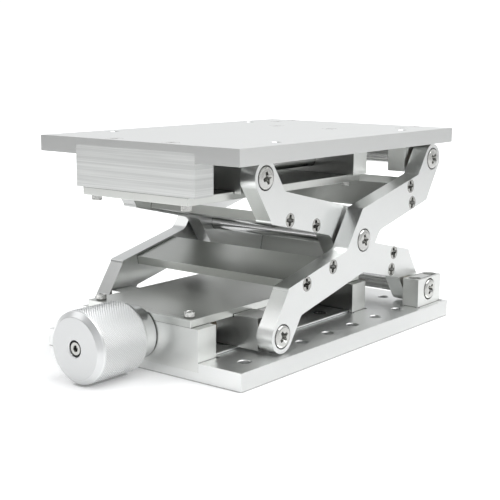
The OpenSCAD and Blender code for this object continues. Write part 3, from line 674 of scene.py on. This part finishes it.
def lead_screw():
    lo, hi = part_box("lead_screw")
    nut_lo, nut_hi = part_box("lower_front_block")
    rear_lo, rear_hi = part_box("lower_rear_block")
    ax, az = (lo.x + hi.x) / 2, (lo.z + hi.z) / 2
    y0, y1 = (nut_hi.y + 0.15 * MM), (rear_lo.y - 0.15 * MM)
    r, rj, pitch, depth = (hi.x - lo.x) / 2 / MM, 3.0, 2.0, 0.95
    n, per = 40, 12
    prof = [(0.0, lo.y), (rj - 0.4, lo.y), (rj, lo.y + 0.4 * MM), (rj, y0 - 0.01 * MM)]
    rows = int((y1 - y0) / (pitch * MM) * per)
    rings = [(p[0], p[1], False) for p in prof]
    for i in range(rows + 1):
        rings.append((r, y0 + (y1 - y0) * i / rows, True))
    rings += [(rj, y1 + 0.01 * MM, False), (rj, hi.y - 0.5 * MM, False), (rj - 0.4, hi.y, False), (0.0, hi.y, False)]
    bm = bmesh.new()
    verts = []
    for rad, y, thread in rings:
        if rad == 0.0:
            verts.append([bm.verts.new((ax, y, az))])
            continue
        ring = []
        for k in range(n):
            t = 2 * math.pi * k / n
            q = rad
            if thread:
                u = (y / MM / pitch - k / n) % 1.0
                f = min(1.0, max(0.0, (abs(u - 0.5) - 0.14) / 0.16))
                ends = min(1.0, min(y - y0, y1 - y) / (1.5 * MM))
                q = rad - depth * (1 - f) * max(ends, 0.0) - 0.25 * (1 - max(ends, 0.0))
            ring.append(bm.verts.new((ax + q * MM * math.sin(t), y, az + q * MM * math.cos(t))))
        verts.append(ring)
    for a, b in zip(verts, verts[1:]):
        for k in range(n):
            m = (k + 1) % n
            if len(a) == 1:
                bm.faces.new((a[0], b[m], b[k]))
            elif len(b) == 1:
                bm.faces.new((a[k], a[m], b[0]))
            else:
                bm.faces.new((a[k], a[m], b[m], b[k]))
    bmesh.ops.recalc_face_normals(bm, faces=bm.faces)
    me = to_mesh(bm, "lead_screw_threaded")
    me.polygons.foreach_set("use_smooth", [True] * len(me.polygons))
    me.set_sharp_from_angle(angle=math.radians(40))
    me.materials.append(M["ground_steel"])
    o = bpy.data.objects.new("lead_screw_threaded", me)
    bpy.context.scene.collection.objects.link(o)
    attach(o, "lead")
    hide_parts("lead_screw")


lead_screw()


# ------------------------------------------------------------------ the rest keep their CAD shape

WIDTH = {
    "anodised_plate": 0.35, "anodised_cover": 0.3, "anodised_block": 0.3, "anodised_arm": 0.45,
    "anodised_cross_plate": 0.3, "ground_steel": 0.25, "bronze_bush": 0.08,
}
for name, ob in NODES.items():
    if ob.hide_render:
        continue
    s = SLOT_OF[name]
    dress(name, WIDTH.get(s, 0.1), 2, M.get({"upper_front_block": "sawn_block", "base_plate": "base_plate_light_shade",
                                            "platform_plate": "platform_plate_shade", "lower_guide_plate": "guide_plate",
                                            "lower_rear_block": "rear_block_shade", "upper_rear_block": "upper_rear_block_shade",
                                            "lower_slide": "slide_block", "outer_arm_left": "arm_left", "inner_arm_left": "arm_left"}.get(name)))


# ------------------------------------------------------------------ studio

def plane(name, size, mat, matrix):
    bm = bmesh.new()
    bmesh.ops.create_grid(bm, x_segments=1, y_segments=1, size=size / 2)
    me = to_mesh(bm, name)
    me.materials.append(mat)
    o = bpy.data.objects.new(name, me)
    bpy.context.scene.collection.objects.link(o)
    o.matrix_world = matrix
    return o


def floor_material():
    """White paper: brighter to the camera far off, with a painted contact shadow line where the base touches it. Other
    rays see it paler with a painted glow on the left and darker on the right, a painted reflection for the metal.
    """
    mat = bpy.data.materials.new("studio_floor")
    mat.use_nodes = True
    nt = mat.node_tree
    b = nt.nodes["Principled BSDF"]
    b.inputs["Roughness"].default_value = 0.7
    b.inputs["Specular IOR Level"].default_value = 0.1
    path = _node(nt, "ShaderNodeLightPath")
    geo = _node(nt, "ShaderNodeNewGeometry")
    sep = _node(nt, "ShaderNodeSeparateXYZ")
    nt.links.new(geo.outputs["Position"], sep.inputs[0])
    # to rays other than the camera's the floor is paler on the left and darker on the right: painted light and shade
    # for reflections
    side = _math(nt, "MULTIPLY", _math(nt, "ADD", sep.outputs[0], 0.02), 6.0, clamp=True)
    reflected_floor_tone = _mix(nt, side, (1.0, 1.0, 1.0), (0.70, 0.70, 0.70))
    # painted contact shadow under the base, seen by the camera
    ao = _node(nt, "ShaderNodeAmbientOcclusion")
    ao.samples = 6
    ao.inputs["Distance"].default_value = 0.0016
    contact_shadow = _mix(nt, _math(nt, "MULTIPLY", _math(nt, "SUBTRACT", 1.0, ao.outputs["AO"]), 1.5, clamp=True),
                (0.93, 0.93, 0.93), (0.25, 0.25, 0.25))
    cam_ray = path.outputs["Is Camera Ray"]
    nt.links.new(_mix(nt, cam_ray, reflected_floor_tone, contact_shadow), b.inputs["Base Color"])
    length = _node(nt, "ShaderNodeVectorMath")
    length.operation = "LENGTH"
    nt.links.new(geo.outputs["Position"], length.inputs[0])
    far = _math(nt, "MULTIPLY", _math(nt, "SUBTRACT", length.outputs["Value"], 0.30), 0.8, clamp=True)
    lift = _math(nt, "MULTIPLY", _math(nt, "ADD", _math(nt, "MULTIPLY", far, 0.7), 0.15), cam_ray)
    # painted glow on the left of the floor, seen only by rays other than the camera's
    glow_left = _math(nt, "MULTIPLY", _math(nt, "SUBTRACT", 1.0, side), _math(nt, "MULTIPLY", _math(nt, "SUBTRACT", 1.0, cam_ray), 0.14))
    lift = _math(nt, "ADD", lift, glow_left)
    b.inputs["Emission Color"].default_value = (1, 1, 1, 1)
    nt.links.new(lift, b.inputs["Emission Strength"])
    return mat


def glow(name, strength, tint=(1, 1, 1)):
    mat = bpy.data.materials.new(name)
    mat.use_nodes = True
    nt = mat.node_tree
    nt.nodes.clear()
    out = nt.nodes.new("ShaderNodeOutputMaterial")
    e = nt.nodes.new("ShaderNodeEmission")
    e.inputs["Strength"].default_value = strength
    e.inputs["Color"].default_value = (*tint, 1)
    nt.links.new(e.outputs[0], out.inputs[0])
    return mat


floor = plane("floor", 12.0, floor_material(), Matrix.Translation((0, 0, -0.0002)))


def card(name, centre, toward, w, h, strength):
    """A flat card that only mirror-like surfaces see."""
    d = (Vector(toward) - Vector(centre)).normalized()
    q = d.to_track_quat("Z", "Y")
    o = plane(name, 1.0, glow(name, strength), Matrix.Translation(centre) @ q.to_matrix().to_4x4() @ Matrix.Diagonal((w, h, 1, 1)))
    o.visible_camera = False
    o.visible_diffuse = False
    o.visible_shadow = False
    o.visible_transmission = False
    o.visible_volume_scatter = False
    return o


card("card_front", (-0.45, -0.52, 0.30), (-0.2, 0.2, 0.30), 1.3, 0.62, 0.50)
card("card_right", (0.85, 0.55, 0.30), (0.0, 0.2, 0.30), 1.2, 0.62, 0.66)
card("card_back", (-0.52, 0.62, 0.065), (0.0, 0.0, 0.065), 1.0, 0.16, 0.32)

world = bpy.data.worlds.new("studio")
bpy.context.scene.world = world
world.use_nodes = True
nt = world.node_tree
nt.nodes.clear()
out = nt.nodes.new("ShaderNodeOutputWorld")
mix = nt.nodes.new("ShaderNodeMixShader")
path = nt.nodes.new("ShaderNodeLightPath")
env = nt.nodes.new("ShaderNodeBackground")
seen = nt.nodes.new("ShaderNodeBackground")
seen.inputs["Color"].default_value = (1, 1, 1, 1)
seen.inputs["Strength"].default_value = 1.05
env.inputs["Strength"].default_value = 1.0
tcw = nt.nodes.new("ShaderNodeTexCoord")
sepw = nt.nodes.new("ShaderNodeSeparateXYZ")
nt.links.new(tcw.outputs["Generated"], sepw.inputs[0])
up_amt = _math(nt, "MULTIPLY", _math(nt, "ADD", sepw.outputs[2], 0.15), 1.4, clamp=True)
nt.links.new(_mix(nt, up_amt, (0.97, 0.97, 0.97), (0.72, 0.73, 0.74)), env.inputs["Color"])
nt.links.new(path.outputs["Is Camera Ray"], mix.inputs[0])
nt.links.new(env.outputs[0], mix.inputs[1])
nt.links.new(seen.outputs[0], mix.inputs[2])
nt.links.new(mix.outputs[0], out.inputs[0])


def area(name, at, to, size, power):
    d = bpy.data.lights.new(name, "AREA")
    d.shape = "SQUARE"
    d.size = size
    d.energy = power
    o = bpy.data.objects.new(name, d)
    bpy.context.scene.collection.objects.link(o)
    o.location = at
    o.rotation_euler = (Vector(to) - Vector(at)).to_track_quat("-Z", "Y").to_euler()
    return o


area("soft_top", (0.35, 0.25, 1.15), (0, 0, 0.05), 1.1, 13)
area("soft_left", (-0.9, -0.7, 0.8), (0, 0, 0.05), 0.8, 3.6)

cam = bpy.data.cameras.new("camera")
cam.sensor_width = 36.0
cam.lens = 1073.1 / 500 * 36.0
cam.clip_start = 0.02
cam.clip_end = 50
co = bpy.data.objects.new("camera", cam)
bpy.context.scene.collection.objects.link(co)
az, el, roll = math.radians(38.256), math.radians(10.205), math.radians(0.334)
back = Vector((math.sin(az) * math.cos(el), -math.cos(az) * math.cos(el), math.sin(el)))
right = (-back).cross(Vector((0, 0, 1))).normalized()
upv = right.cross(-back).normalized()
r2 = math.cos(roll) * right + math.sin(roll) * upv
u2 = -math.sin(roll) * right + math.cos(roll) * upv
co.matrix_world = Matrix.Translation((0.38537, -0.49873, 0.16183)) @ Matrix((r2, u2, back)).transposed().to_4x4()
bpy.context.scene.camera = co

view = bpy.context.scene.view_settings
view.view_transform = "Standard"
view.look = "None"
view.exposure = 0.0
view.gamma = 1.0
